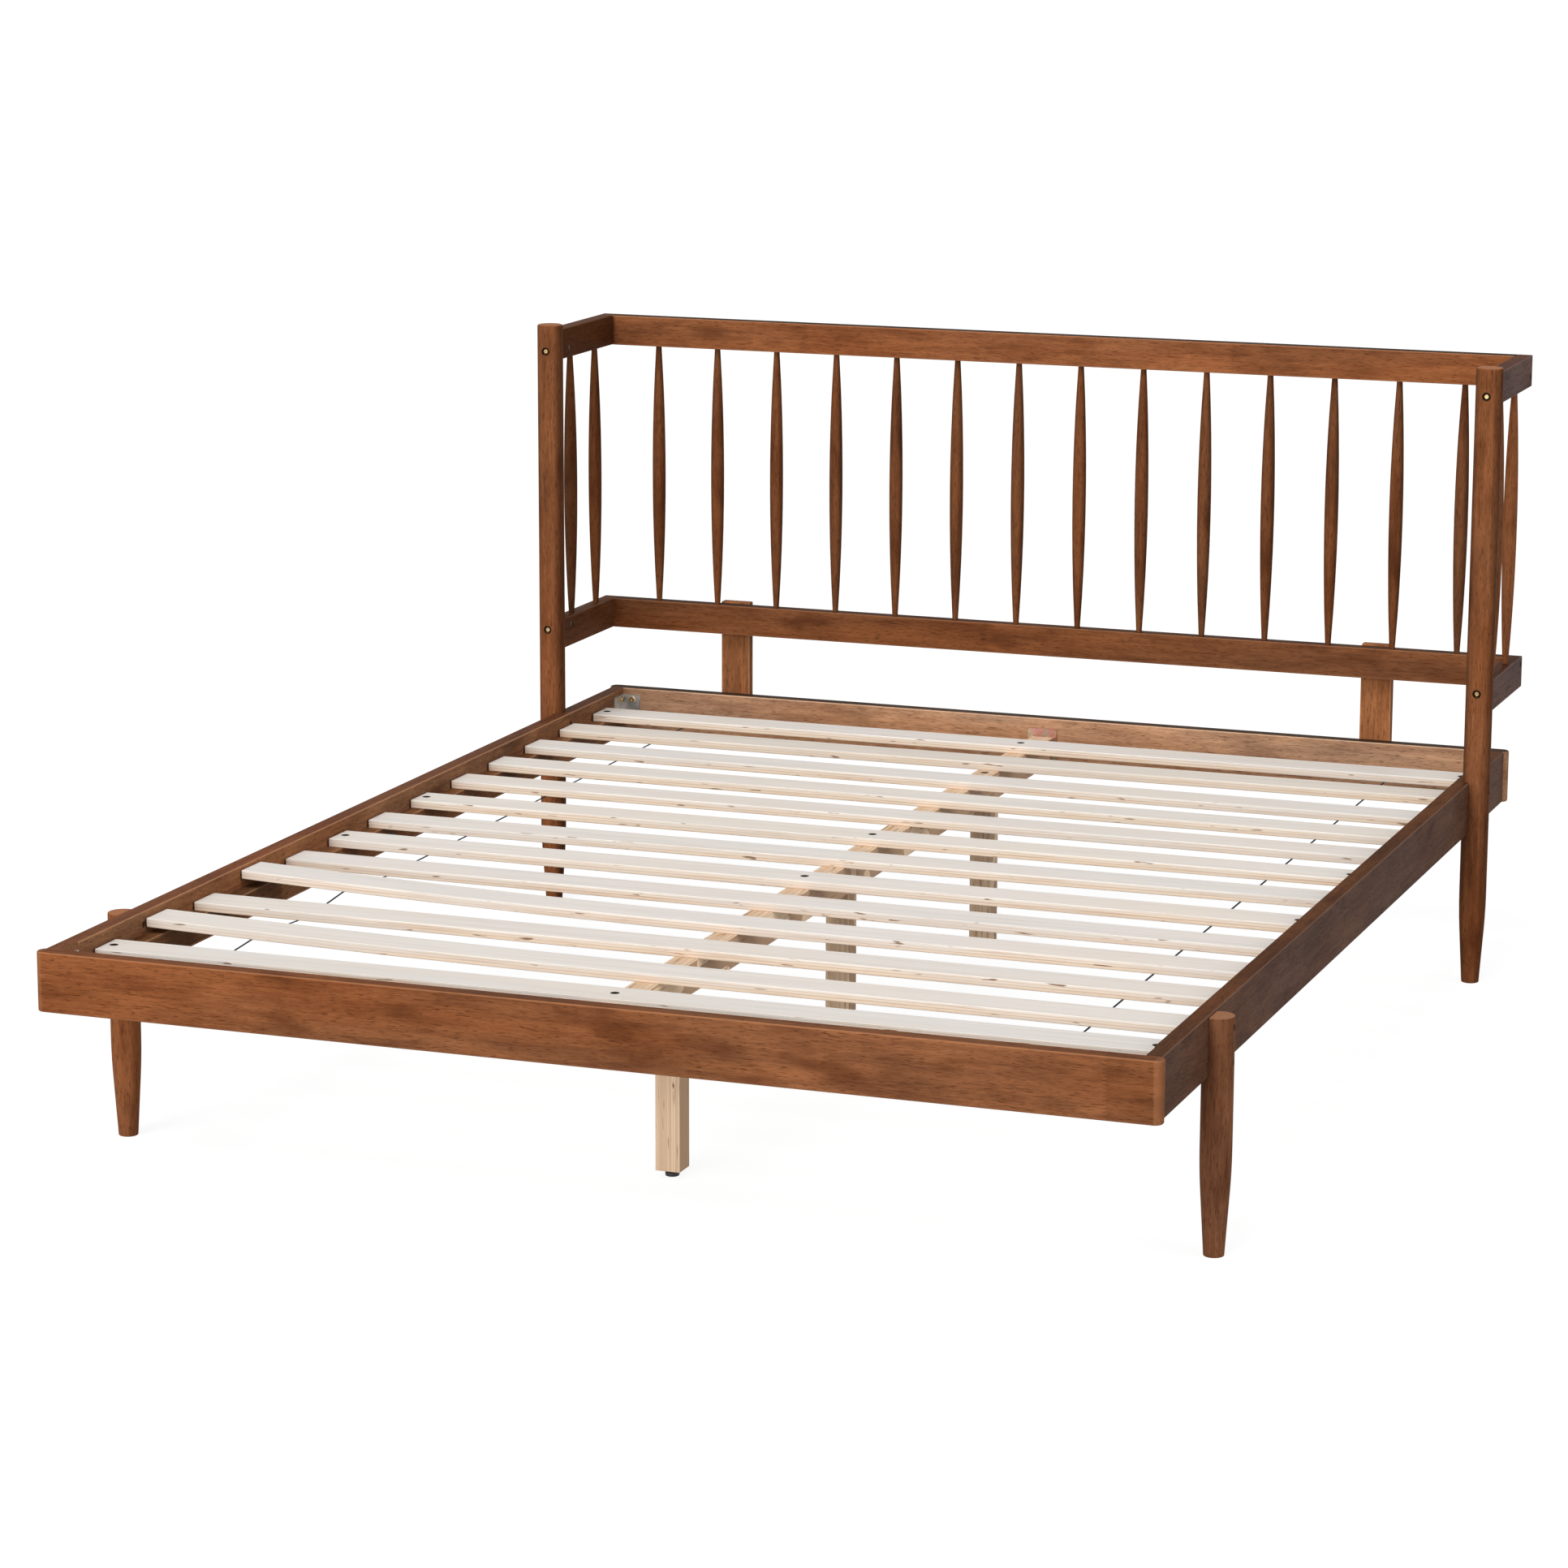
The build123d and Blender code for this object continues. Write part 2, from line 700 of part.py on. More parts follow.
def slat(number):
    half = slat_length / 2
    if number in curled_slats:
        board_shape = curled_board(curled_slats[number])
    else:
        board_shape = block((-half, half), (-slat_width / 2, slat_width / 2), (slat_bottom, slat_top))
    shape = slat_place(number) * soften(board_shape, slat_edge)
    if number in screwed_slats:
        space = small_screw_space(slat_screw_length, slat_screw_sink + cut_over)
        for spot in screws_of_slat(number):
            shape -= face_out(space, spot, (0, 0, 1))
    return shape


def screws_of_slat(number):
    out = slat_length / 2 - slat_hole_inset
    height = slat_top - slat_screw_sink
    spots = [slat_place(number) * Pos(x, 0, height) for x in (-out, 0, out)]
    return [tuple(spot.position) for spot in spots]


def slat_screw_places():
    return [spot for number in screwed_slats for spot in screws_of_slat(number)]


def slat_screws():
    screw = small_screw(slat_screw_length)
    return [face_out(screw, spot, (0, 0, 1)) for spot in slat_screw_places()]


# Straps stapled under the slats keep their spacing
def strap_x(side):
    return side * (strap_left if side < 0 else strap_right)


def slat_y_at(number, x):
    place = slat_place(number)
    return place.position.Y + x * math.tan(math.radians(place.orientation.Z))


def slat_strap(side):
    x = strap_x(side)
    spots = []
    for number in range(1, slat_count + 1):
        y, z = slat_y_at(number, x), slat_under(number, x)
        before = strap_tail if number == 1 else slat_width / 2
        after = strap_tail if number == slat_count else slat_width / 2
        spots += [(y - before, z), (y + after, z)]
    low = [(y, z - strap_thickness) for y, z in reversed(spots)]
    outline = Polyline(*spots, *low, close=True)
    face = make_face(Plane.YZ * outline)
    return Pos(x, 0, 0) * extrude(face, strap_width / 2, both=True)


def strap_staples():
    staples = []
    for side in sides.values():
        x = strap_x(side)
        for number in range(1, slat_count + 1):
            y = slat_y_at(number, x)
            under = slat_under(number, x) - strap_thickness
            x_range = (x - staple_crown / 2, x + staple_crown / 2)
            crown = block(x_range, (y - staple_wire, y + staple_wire), (under - staple_wire, under))
            for way in (-1, 1):
                outside = x + way * staple_crown / 2
                leg_x_range = (outside - way * staple_wire, outside)
                leg_z_range = (under, under + strap_thickness)
                crown += block(leg_x_range, (y - staple_wire, y + staple_wire), leg_z_range)
            staples.append(crown)
    return staples


# Centre beam and its legs
def centre_beam():
    inset = hanger_plate + beam_end_gap
    ends = (foot_in + inset, head_in - inset)
    beam = block((-beam_width / 2, beam_width / 2), ends, (beam_bottom, slat_bottom))
    beam = fillet(beam.edges().filter_by(Axis.Y), centre_leg_edge)
    for y in centre_legs.values():
        beam -= face_out(leg_screw_space(), (0, y, slat_bottom), (0, 0, 1))
    for spot in slat_screw_places():
        beam -= face_out(small_screw_space(slat_screw_length, 0), spot, (0, 0, 1))
    return beam


def leg_screw_space():
    head = (leg_screw_head_radius, leg_screw_head_height)
    return screw_space(leg_screw_radius, *head, leg_screw_length, cut_over)


def centre_leg_screws():
    head = (leg_screw_head_radius, leg_screw_head_height)
    screw = wood_screw(leg_screw_radius, *head, leg_screw_length)
    return [face_out(screw, (0, y, slat_bottom), (0, 0, 1)) for y in centre_legs.values()]


def centre_leg(y):
    half = centre_leg_side / 2
    leg = block((-half, half), (y - half, y + half), (centre_leg_base, beam_bottom))
    leg = soften(leg, centre_leg_edge)
    leg -= face_out(leg_screw_space(), (0, y, slat_bottom), (0, 0, 1))
    leg -= rod((0, y, centre_leg_base), (0, 0, 1), insert_radius + insert_gap, insert_length)
    return leg - rod((0, y, centre_leg_base), (0, 0, 1), stem_radius + stem_gap, stem_length + stem_well)


def levelling_glide(y):
    pad = fillet(Cylinder(glide_radius, glide_height, align=on_base).edges(), glide_edge)
    stem = rod((0, 0, 0), (0, 0, 1), stem_radius, glide_height + stem_length)
    return Pos(0, y, 0) * (pad + stem)


def glide_inserts():
    ring = rod((0, 0, 0), (0, 0, 1), insert_radius, insert_length)
    ring -= rod((0, 0, 0), (0, 0, 1), stem_radius + stem_gap, insert_length)
    return [Pos(0, y, centre_leg_base) * ring for y in centre_legs.values()]


def save(name, shapes):
    shapes = shapes if isinstance(shapes, list) else [shapes]
    solids = [solid for shape in shapes for solid in shape.solids()]
    export_step(Compound(solids), f"parts/{name}.step")


def spindles_at(places):
    spindle = turned_spindle()
    return [Pos(x, y, 0) * spindle for x, y in places]


def build():
    os.makedirs("parts", exist_ok=True)
    save("foot_rail", bored_end_rail(foot_in, 1))
    save("head_rail", bored_end_rail(head_in, -1))
    upper = ((upper_bottom, upper_rail_top), upper_bolt_z, upper_dowel_z)
    lower = ((lower_bottom, lower_rail_top), lower_bolt_z, lower_dowel_z)
    for word, side in sides.items():
        save(f"side_rail_{word}", side_rail(side))
        save(f"front_leg_{word}", front_leg(side))
        save(f"head_post_{word}", head_post(side))
        save(f"upper_wing_rail_{word}", wing_rail(side, *upper))
        save(f"lower_wing_rail_{word}", wing_rail(side, *lower))
        save(f"wing_spindles_{word}", spindles_at(wing_spindle_places(side)))
        save(f"back_strut_{word}", back_strut(side))
        save(f"slat_cleat_{word}", slat_cleat(side))
        save(f"slat_strap_{word}", slat_strap(side))
    save("back_top_rail", back_rail(*upper))
    save("back_lower_rail", lower_back_rail())
    save("back_spindles_left", spindles_at(back_spindle_places()[: spindle_count // 2]))
    save("back_spindles_right", spindles_at(back_spindle_places()[spindle_count // 2 :]))
    for number in range(1, slat_count + 1):
        save(f"slat_{number:02d}", slat(number))
    save("centre_beam", centre_beam())
    for word, y in centre_legs.items():
        save(f"centre_leg_{word}", centre_leg(y))
        save(f"levelling_glide_{word}", levelling_glide(y))
    save("glide_inserts", glide_inserts())
    save("corner_brackets", corner_brackets())
    save("corner_bracket_bolts", bracket_bolts())
    save("beam_hangers", [hanger(end, away) for end, away in rail_ends()])
    save("beam_hanger_screws", hanger_screws())
    save("leg_bolts", leg_bolts())
    save("leg_sleeve_nuts", sleeve_nuts())
    save("post_bolts", post_bolts())
    save("wing_rear_bolts", rear_bolts())
    save("barrel_nuts", barrel_nuts())
    save("locating_dowels", locating_dowels())
    save("strut_screws", strut_screws())
    save("cleat_screws", cleat_screws())
    save("slat_screws", slat_screws())
    save("centre_leg_screws", centre_leg_screws())
    save("strap_staples", strap_staples())


build()
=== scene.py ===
import math

import bmesh
import bpy
from mathutils import Matrix, Vector


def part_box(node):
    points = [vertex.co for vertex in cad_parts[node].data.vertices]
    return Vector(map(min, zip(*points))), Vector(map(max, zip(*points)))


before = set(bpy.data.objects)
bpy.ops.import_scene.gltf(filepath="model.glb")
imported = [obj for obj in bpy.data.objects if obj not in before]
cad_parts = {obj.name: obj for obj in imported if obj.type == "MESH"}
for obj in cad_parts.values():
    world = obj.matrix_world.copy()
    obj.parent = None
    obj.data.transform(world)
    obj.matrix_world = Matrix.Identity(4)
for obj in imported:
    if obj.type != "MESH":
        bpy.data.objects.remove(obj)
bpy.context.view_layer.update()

# Camera and studio
viewPoint = {
    "place": (2.3818, -6.7044, 1.9298),
    "yaw": 0.3540739,
    "pitch": 0.2095311,
    "roll": 0.0027985,
    "focal": 5937.454,  # in pixels of the photo
    "frame": 1932,
    "film": 36.0,
}
studio = {
    "skyFill": 0.30,
    "lamps": {  # where from across the floor, height and spread in degrees, strength
        "keyLamp": {"from": (-0.25, -0.97), "height": 56.0, "spread": 34.0, "strength": 1.95},
        "lowLamp": {"from": (-0.16, -0.98), "height": 11.0, "spread": 30.0, "strength": 1.6},
        "sideLamp": {"from": (0.95, -0.3), "height": 22.0, "spread": 40.0, "strength": 1.0},
    },
    "floorColour": (0.42, 0.41, 0.40, 1.0),
    "floorSeen": (1.0, 1.0, 1.0, 1.0),
    "floorGlow": 0.84,
    "glowStrength": 1.07,
    "floorHalf": 60.0,
}


def makeCamera():
    lens = bpy.data.cameras.new("viewCamera")
    lens.sensor_width = viewPoint["film"]
    lens.lens = viewPoint["focal"] / viewPoint["frame"] * viewPoint["film"]
    lens.clip_end = 200.0
    yaw, pitch, roll = viewPoint["yaw"], viewPoint["pitch"], viewPoint["roll"]
    ahead = Vector((-math.sin(yaw) * math.cos(pitch), math.cos(yaw) * math.cos(pitch), -math.sin(pitch)))
    right = Vector((math.cos(yaw), math.sin(yaw), 0.0))
    up = right.cross(ahead)
    rolledRight = right * math.cos(roll) + up * math.sin(roll)
    rolledUp = up * math.cos(roll) - right * math.sin(roll)
    turn = Matrix((rolledRight, rolledUp, -ahead)).transposed().to_4x4()
    camera = bpy.data.objects.new("viewCamera", lens)
    camera.matrix_world = Matrix.Translation(viewPoint["place"]) @ turn
    bpy.context.collection.objects.link(camera)
    bpy.context.scene.camera = camera


# One node, its settings and what goes into its sockets
def addNode(tree, kind, sockets=None, **settings):
    made = tree.nodes.new(kind)
    for key, value in settings.items():
        setattr(made, key, value)
    for key, value in (sockets or {}).items():
        if isinstance(value, bpy.types.NodeSocket):
            tree.links.new(value, made.inputs[key])
        else:
            made.inputs[key].default_value = value
    return made


# Short hands for the nodes that the materials use most
def calc(tree, operation, first, second=0.0, third=0.0):
    return addNode(tree, "ShaderNodeMath", {0: first, 1: second, 2: third}, operation=operation).outputs[0]


def mixColour(tree, share, first, second, mode="MIX"):
    made = addNode(tree, "ShaderNodeMix", {0: share, 6: first, 7: second}, data_type="RGBA", blend_type=mode)
    return made.outputs[2]


def spread(tree, value, low, high, bottom=0.0, top=1.0):
    limits = {"Value": value, "From Min": low, "From Max": high, "To Min": bottom, "To Max": top}
    return addNode(tree, "ShaderNodeMapRange", limits).outputs[0]


def colourRamp(tree, value, stops):
    made = addNode(tree, "ShaderNodeValToRGB", {0: value})
    for place, colour in stops[1:-1]:
        made.color_ramp.elements.new(place).color = (*colour, 1.0)
    for end in (0, -1):
        made.color_ramp.elements[end].position = stops[end][0]
        made.color_ramp.elements[end].color = (*stops[end][1], 1.0)
    return made.outputs[0]


def noise(tree, point, scale, shift, detail=2.0, roughness=0.5):
    place = addNode(tree, "ShaderNodeMapping", {"Vector": point, "Location": shift, "Scale": scale})
    sockets = {"Vector": place.outputs[0], "Scale": 1.0, "Detail": detail, "Roughness": roughness}
    return addNode(tree, "ShaderNodeTexNoise", sockets).outputs[0]


# White for the rays that only show the backdrop
def paleRays(tree):
    rays = addNode(tree, "ShaderNodeLightPath").outputs
    seen = calc(tree, "ADD", rays["Is Camera Ray"], rays["Is Glossy Ray"])
    return calc(tree, "MINIMUM", calc(tree, "ADD", seen, rays["Is Transmission Ray"]), 1.0)


def makeSky():
    world = bpy.data.worlds.new("studioSky")
    world.use_nodes = True
    tree = world.node_tree
    tree.nodes.clear()
    fill = addNode(tree, "ShaderNodeBackground", {"Color": (1, 1, 1, 1), "Strength": studio["skyFill"]})
    white = addNode(tree, "ShaderNodeBackground", {"Color": (1, 1, 1, 1), "Strength": 1.0})
    mix = addNode(tree, "ShaderNodeMixShader", {0: paleRays(tree), 1: fill.outputs[0], 2: white.outputs[0]})
    addNode(tree, "ShaderNodeOutputWorld", {"Surface": mix.outputs[0]})
    bpy.context.scene.world = world


def makeLamps():
    for name, look in studio["lamps"].items():
        lamp = bpy.data.lights.new(name, "SUN")
        lamp.energy = look["strength"]
        lamp.angle = math.radians(look["spread"])
        height = math.radians(look["height"])
        across = Vector((*look["from"], 0.0)).normalized() * math.cos(height)
        source = across + Vector((0, 0, math.sin(height)))
        holder = bpy.data.objects.new(name, lamp)
        holder.matrix_world = source.to_track_quat("Z", "Y").to_matrix().to_4x4()
        bpy.context.collection.objects.link(holder)


def makeFloor():
    sheet = bmesh.new()
    bmesh.ops.create_grid(sheet, x_segments=1, y_segments=1, size=studio["floorHalf"])
    mesh = bpy.data.meshes.new("studioFloor")
    sheet.to_mesh(mesh)
    sheet.free()
    floor = bpy.data.objects.new("studioFloor", mesh)
    bpy.context.collection.objects.link(floor)
    paint = bpy.data.materials.new("paleFloor")
    paint.use_nodes = True
    tree = paint.node_tree
    tree.nodes.clear()
    pale = paleRays(tree)
    colour = mixColour(tree, pale, studio["floorColour"], studio["floorSeen"])
    matte = addNode(tree, "ShaderNodeBsdfDiffuse", {"Color": colour})
    glow = addNode(tree, "ShaderNodeEmission", {"Color": (1, 1, 1, 1), "Strength": studio["glowStrength"]})
    share = calc(tree, "MULTIPLY", pale, studio["floorGlow"])
    lit = addNode(tree, "ShaderNodeMixShader", {0: share, 1: matte.outputs[0], 2: glow.outputs[0]})
    addNode(tree, "ShaderNodeOutputMaterial", {"Surface": lit.outputs[0]})
    mesh.materials.append(paint)


def newPaint(name, sheen):
    paint = bpy.data.materials.new(name)
    paint.use_nodes = True
    tree = paint.node_tree
    tree.nodes.clear()
    shader = addNode(tree, "ShaderNodeBsdfPrincipled")
    for socket, value in sheen.items():
        shader.inputs[socket].default_value = value
    addNode(tree, "ShaderNodeOutputMaterial", {"Surface": shader.outputs[0]})
    return paint, tree, shader


def addBump(tree, shader, height, strength, distance):
    sockets = {"Height": height, "Strength": strength, "Distance": distance}
    bump = addNode(tree, "ShaderNodeBump", sockets)
    tree.links.new(bump.outputs[0], shader.inputs["Normal"])


# A scale that is long along the grain and fine across it
def alongGrain(axis, along, across):
    return tuple(along if i == axis else across for i in range(3))


def scaled(colour, factor):
    return tuple(channel * factor for channel in colour)


# Stained wood: blotches, streaks, fine grain and pores, finger-jointed lengths and rubbed corners with a
# painted highlight, and painted shade on tops, sides, ends and around holes
stain = {
    "pale": (0.350, 0.130, 0.050),
    "deep": (0.085, 0.024, 0.009),
    "warm": (0.270, 0.082, 0.026),
    "grey": (0.170, 0.078, 0.040),
    "pore": (0.060, 0.018, 0.007),
    "hole": (0.016, 0.009, 0.005),
    "rubbedHighlight": (0.420, 0.185, 0.088),
    "toothLength": 0.008,
    "toothPitch": 0.0052,
    "glueLine": 0.0006,
    "waver": 0.012,
    "hue": 0.36,
    "sheen": {"Roughness": 0.5, "Specular IOR Level": 0.01},
}


def stainedWood(name, node, look):
    low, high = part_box(node)
    axis = "XYZ".index(look["axis"])
    paint, tree, shader = newPaint(name, stain["sheen"])
    shift = look["shift"]
    point = addNode(tree, "ShaderNodeTexCoord")
    place = point.outputs["Object"]
    split = addNode(tree, "ShaderNodeSeparateXYZ", {0: place}).outputs
    facing = addNode(tree, "ShaderNodeSeparateXYZ", {0: point.outputs["Normal"]}).outputs
    warp = noise(tree, place, alongGrain(axis, 2.0, 8.0), shift, 1.0)
    moved = addNode(tree, "ShaderNodeVectorMath", {0: place, 1: warp}, operation="ADD").outputs[0]
    bent = addNode(tree, "ShaderNodeMix", {0: stain["waver"], 4: place, 5: moved}, data_type="VECTOR")
    bent = bent.outputs[1]
    blotch = noise(tree, place, alongGrain(axis, 5.0, 20.0), shift, 3.0, 0.6)
    patch = noise(tree, place, alongGrain(axis, 1.6, 9.0), scaled(shift, 1.7), 2.0)
    streak = noise(tree, bent, alongGrain(axis, 7.0, 150.0), shift, 5.0, 0.65)
    fine = noise(tree, bent, alongGrain(axis, 42.0, 440.0), shift, 3.0, 0.6)
    pore = noise(tree, bent, alongGrain(axis, 75.0, 900.0), scaled(shift, 0.6), 1.0)
    level = calc(tree, "MULTIPLY", spread(tree, blotch, 0.38, 0.60), 0.42)
    level = calc(tree, "MULTIPLY_ADD", spread(tree, streak, 0.38, 0.60), 0.33, level)
    level = calc(tree, "MULTIPLY_ADD", spread(tree, fine, 0.38, 0.60), 0.25, level)
    colour = mixColour(tree, level, (*stain["deep"], 1), (*stain["pale"], 1))
    hue = mixColour(tree, spread(tree, patch, 0.40, 0.62), (*stain["warm"], 1), (*stain["grey"], 1))
    colour = mixColour(tree, stain["hue"], colour, hue)
    colour = mixColour(tree, spread(tree, pore, 0.58, 0.70, 0.0, 0.7), colour, (*stain["pore"], 1))
    wave = noise(tree, place, alongGrain(axis, 9.0, 30.0), scaled(shift, 2.3), 2.0)
    colour = mixColour(tree, spread(tree, wave, 0.56, 0.74, 0.0, 0.6), colour, (*stain["deep"], 1))
    if look.get("lengths"):
        colour = jointedLengths(tree, colour, split, axis, look["lengths"])
    for spot in look.get("knotAndHoleSpots", ()):
        colour = knotAndHoleSpot(tree, colour, place, axis, *spot)
    if look.get("endBand"):
        # A paler band near both ends of the board, mixed toward the rubbed-and-highlight colour
        reach = calc(tree, "MULTIPLY_ADD", streak, 0.004, calc(tree, "ABSOLUTE", split[axis]))
        band = spread(tree, reach, high[axis] - 0.010, high[axis] - 0.007, 0.0, look["endBand"])
        colour = mixColour(tree, band, colour, (*stain["rubbedHighlight"], 1))
    if look.get("endShade"):
        reach = calc(tree, "ABSOLUTE", split[axis])
        shade = spread(tree, reach, high[axis] - look["endShade"], high[axis] - 0.001, 0.0, 0.9)
        colour = mixColour(tree, shade, colour, (*stain["pore"], 1))
    # Painted shade around the bolt holes
    for hole in look.get("holes", ()):
        colour = paintedHoleShade(tree, colour, place, *hole)
    if look.get("board"):
        colour = rubbedAndLitCorners(tree, colour, split, axis, low, high, streak)
    top = spread(tree, facing[2], 0.75, 0.97)
    if look.get("endGrain"):
        rings = noise(tree, place, (210.0, 210.0, 40.0), shift, 4.0, 0.6)
        end = mixColour(tree, rings, (*scaled(stain["pale"], 0.8), 1), (*scaled(stain["rubbedHighlight"], 0.95), 1))
        colour = mixColour(tree, top, colour, end)
    # Painted light and shade: the piece's tone and tint brighten or darken its whole colour for the light
    # that falls on it, besides the board's own tone
    tone = (*[look["tone"] * channel for channel in look.get("tint", (1, 1, 1))], 1)
    colour = mixColour(tree, 1.0, colour, tone, "MULTIPLY")
    # Painted shade: faces turned to the sides darkened by the piece's side factor
    if look.get("paintedSideShade"):
        paintedShade = mixColour(tree, 1.0, colour, (*[look["paintedSideShade"]] * 3, 1), "MULTIPLY")
        colour = mixColour(tree, spread(tree, calc(tree, "ABSOLUTE", facing[0]), 0.5, 0.95), colour, paintedShade)
    # Painted shade: top faces darkened by the piece's top factor, standing in for the shade that falls on
    # them
    topShadeFactor = look.get("paintedTopShade", (1.0, 1.0, 1.0))
    colour = mixColour(tree, top, colour, mixColour(tree, 1.0, colour, (*topShadeFactor, 1), "MULTIPLY"))
    tree.links.new(colour, shader.inputs["Base Color"])
    relief = calc(tree, "MULTIPLY_ADD", pore, -0.6, fine)
    addBump(tree, shader, relief, 0.22, 0.0006)
    return paint


# Lengths of wood glued end to end with fine teeth; each has its own tone
def jointedLengths(tree, colour, split, axis, lengths):
    across = split[2] if axis != 2 else split[0]
    saw = calc(tree, "PINGPONG", across, stain["toothPitch"] / 2)
    reach = calc(tree, "MULTIPLY", saw, 2 * stain["toothLength"] / stain["toothPitch"])
    along = calc(tree, "ADD", split[axis], reach)
    tone = lengths[0][1]
    line = None
    before = lengths[0][1]
    for start, shade, clear in lengths[1:]:
        past = calc(tree, "GREATER_THAN", along, start)
        tone = calc(tree, "MULTIPLY_ADD", past, shade - before, tone)
        before = shade
        near = calc(tree, "COMPARE", along, start, stain["glueLine"])
        near = calc(tree, "MULTIPLY", near, clear)
        line = near if line is None else calc(tree, "MAXIMUM", line, near)
    shades = addNode(tree, "ShaderNodeCombineColor", {0: tone, 1: tone, 2: tone}).outputs[0]
    colour = mixColour(tree, 1.0, colour, shades, "MULTIPLY")
    return mixColour(tree, line, colour, (*stain["deep"], 1))


# A dark ragged spot: a knot, or the painted shade of a small hole
def knotAndHoleSpot(tree, colour, place, axis, centre, length, strength):
    away = addNode(tree, "ShaderNodeVectorMath", {0: place, 1: centre}, operation="SUBTRACT").outputs[0]
    squeeze = alongGrain(axis, 1.0 / length, 2.4 / length)
    away = addNode(tree, "ShaderNodeVectorMath", {0: away, 1: squeeze}, operation="MULTIPLY").outputs[0]
    far = addNode(tree, "ShaderNodeVectorMath", {0: away}, operation="LENGTH").outputs["Value"]
    ragged = noise(tree, place, alongGrain(axis, 60.0, 260.0), centre, 3.0)
    far = calc(tree, "MULTIPLY_ADD", ragged, 0.8, far)
    share = spread(tree, far, 0.45, 1.3, strength, 0.0)
    return mixColour(tree, share, colour, (*stain["pore"], 1))


# Painted shade: a dark disc around and inside a bolt's or screw's hole, standing in for the shade in the
# hole
def paintedHoleShade(tree, colour, place, centre, squeeze, radius):
    away = addNode(tree, "ShaderNodeVectorMath", {0: place, 1: centre}, operation="SUBTRACT").outputs[0]
    away = addNode(tree, "ShaderNodeVectorMath", {0: away, 1: squeeze}, operation="MULTIPLY").outputs[0]
    far = addNode(tree, "ShaderNodeVectorMath", {0: away}, operation="LENGTH").outputs["Value"]
    share = spread(tree, far, radius, radius + 0.0006, 1.0, 0.0)
    return mixColour(tree, share, colour, (*stain["hole"], 1))


# Stain rubs thin along a board's long corners; the paler corners also carry a painted highlight, standing in
# for light caught by the rounded edges
def rubbedAndLitCorners(tree, colour, split, axis, low, high, streak):
    gaps = []
    for i in range(3):
        if i != axis:
            fromLow = calc(tree, "SUBTRACT", split[i], low[i])
            fromHigh = calc(tree, "SUBTRACT", high[i], split[i])
            gaps.append(calc(tree, "MINIMUM", fromLow, fromHigh))
    away = calc(tree, "MAXIMUM", gaps[0], gaps[1])
    away = calc(tree, "MULTIPLY_ADD", streak, 0.0016, away)
    return mixColour(tree, spread(tree, away, 0.0012, 0.0034, 0.62, 0.0), colour, (*stain["rubbedHighlight"], 1))


# Pale plywood slats: grey-white faces, layered edges with dark glue lines and small knots, a painted
# highlight along the top of the edges and painted shade at the screw holes
slatLook = {
    "face": (0.745, 0.700, 0.655),
    "faceGrey": (0.640, 0.605, 0.570),
    "faceWarm": (0.740, 0.650, 0.560),
    "knot": (0.200, 0.105, 0.055),
    # Edge colours from the bottom of the ply edge to the top: plies and glue lines, darker towards the
    # bottom, and the palest stops at the top are a painted highlight along the top edge
    "plies": (
        (0.00, (0.560, 0.370, 0.240)),
        (0.09, (0.700, 0.540, 0.400)),
        (0.14, (0.760, 0.610, 0.470)),
        (0.36, (0.790, 0.650, 0.520)),
        (0.40, (0.500, 0.310, 0.190)),
        (0.45, (0.740, 0.610, 0.490)),
        (0.66, (0.790, 0.690, 0.590)),
        (0.70, (0.570, 0.400, 0.270)),
        (0.75, (0.770, 0.690, 0.600)),
        (0.92, (0.800, 0.730, 0.650)),
        (1.00, (0.850, 0.800, 0.740)),
    ),
    "holeRadius": 0.0062,
    "curls": {2: 0.009, 4: 0.014},
    "sheen": {"Roughness": 0.62, "Specular IOR Level": 0.2},
}


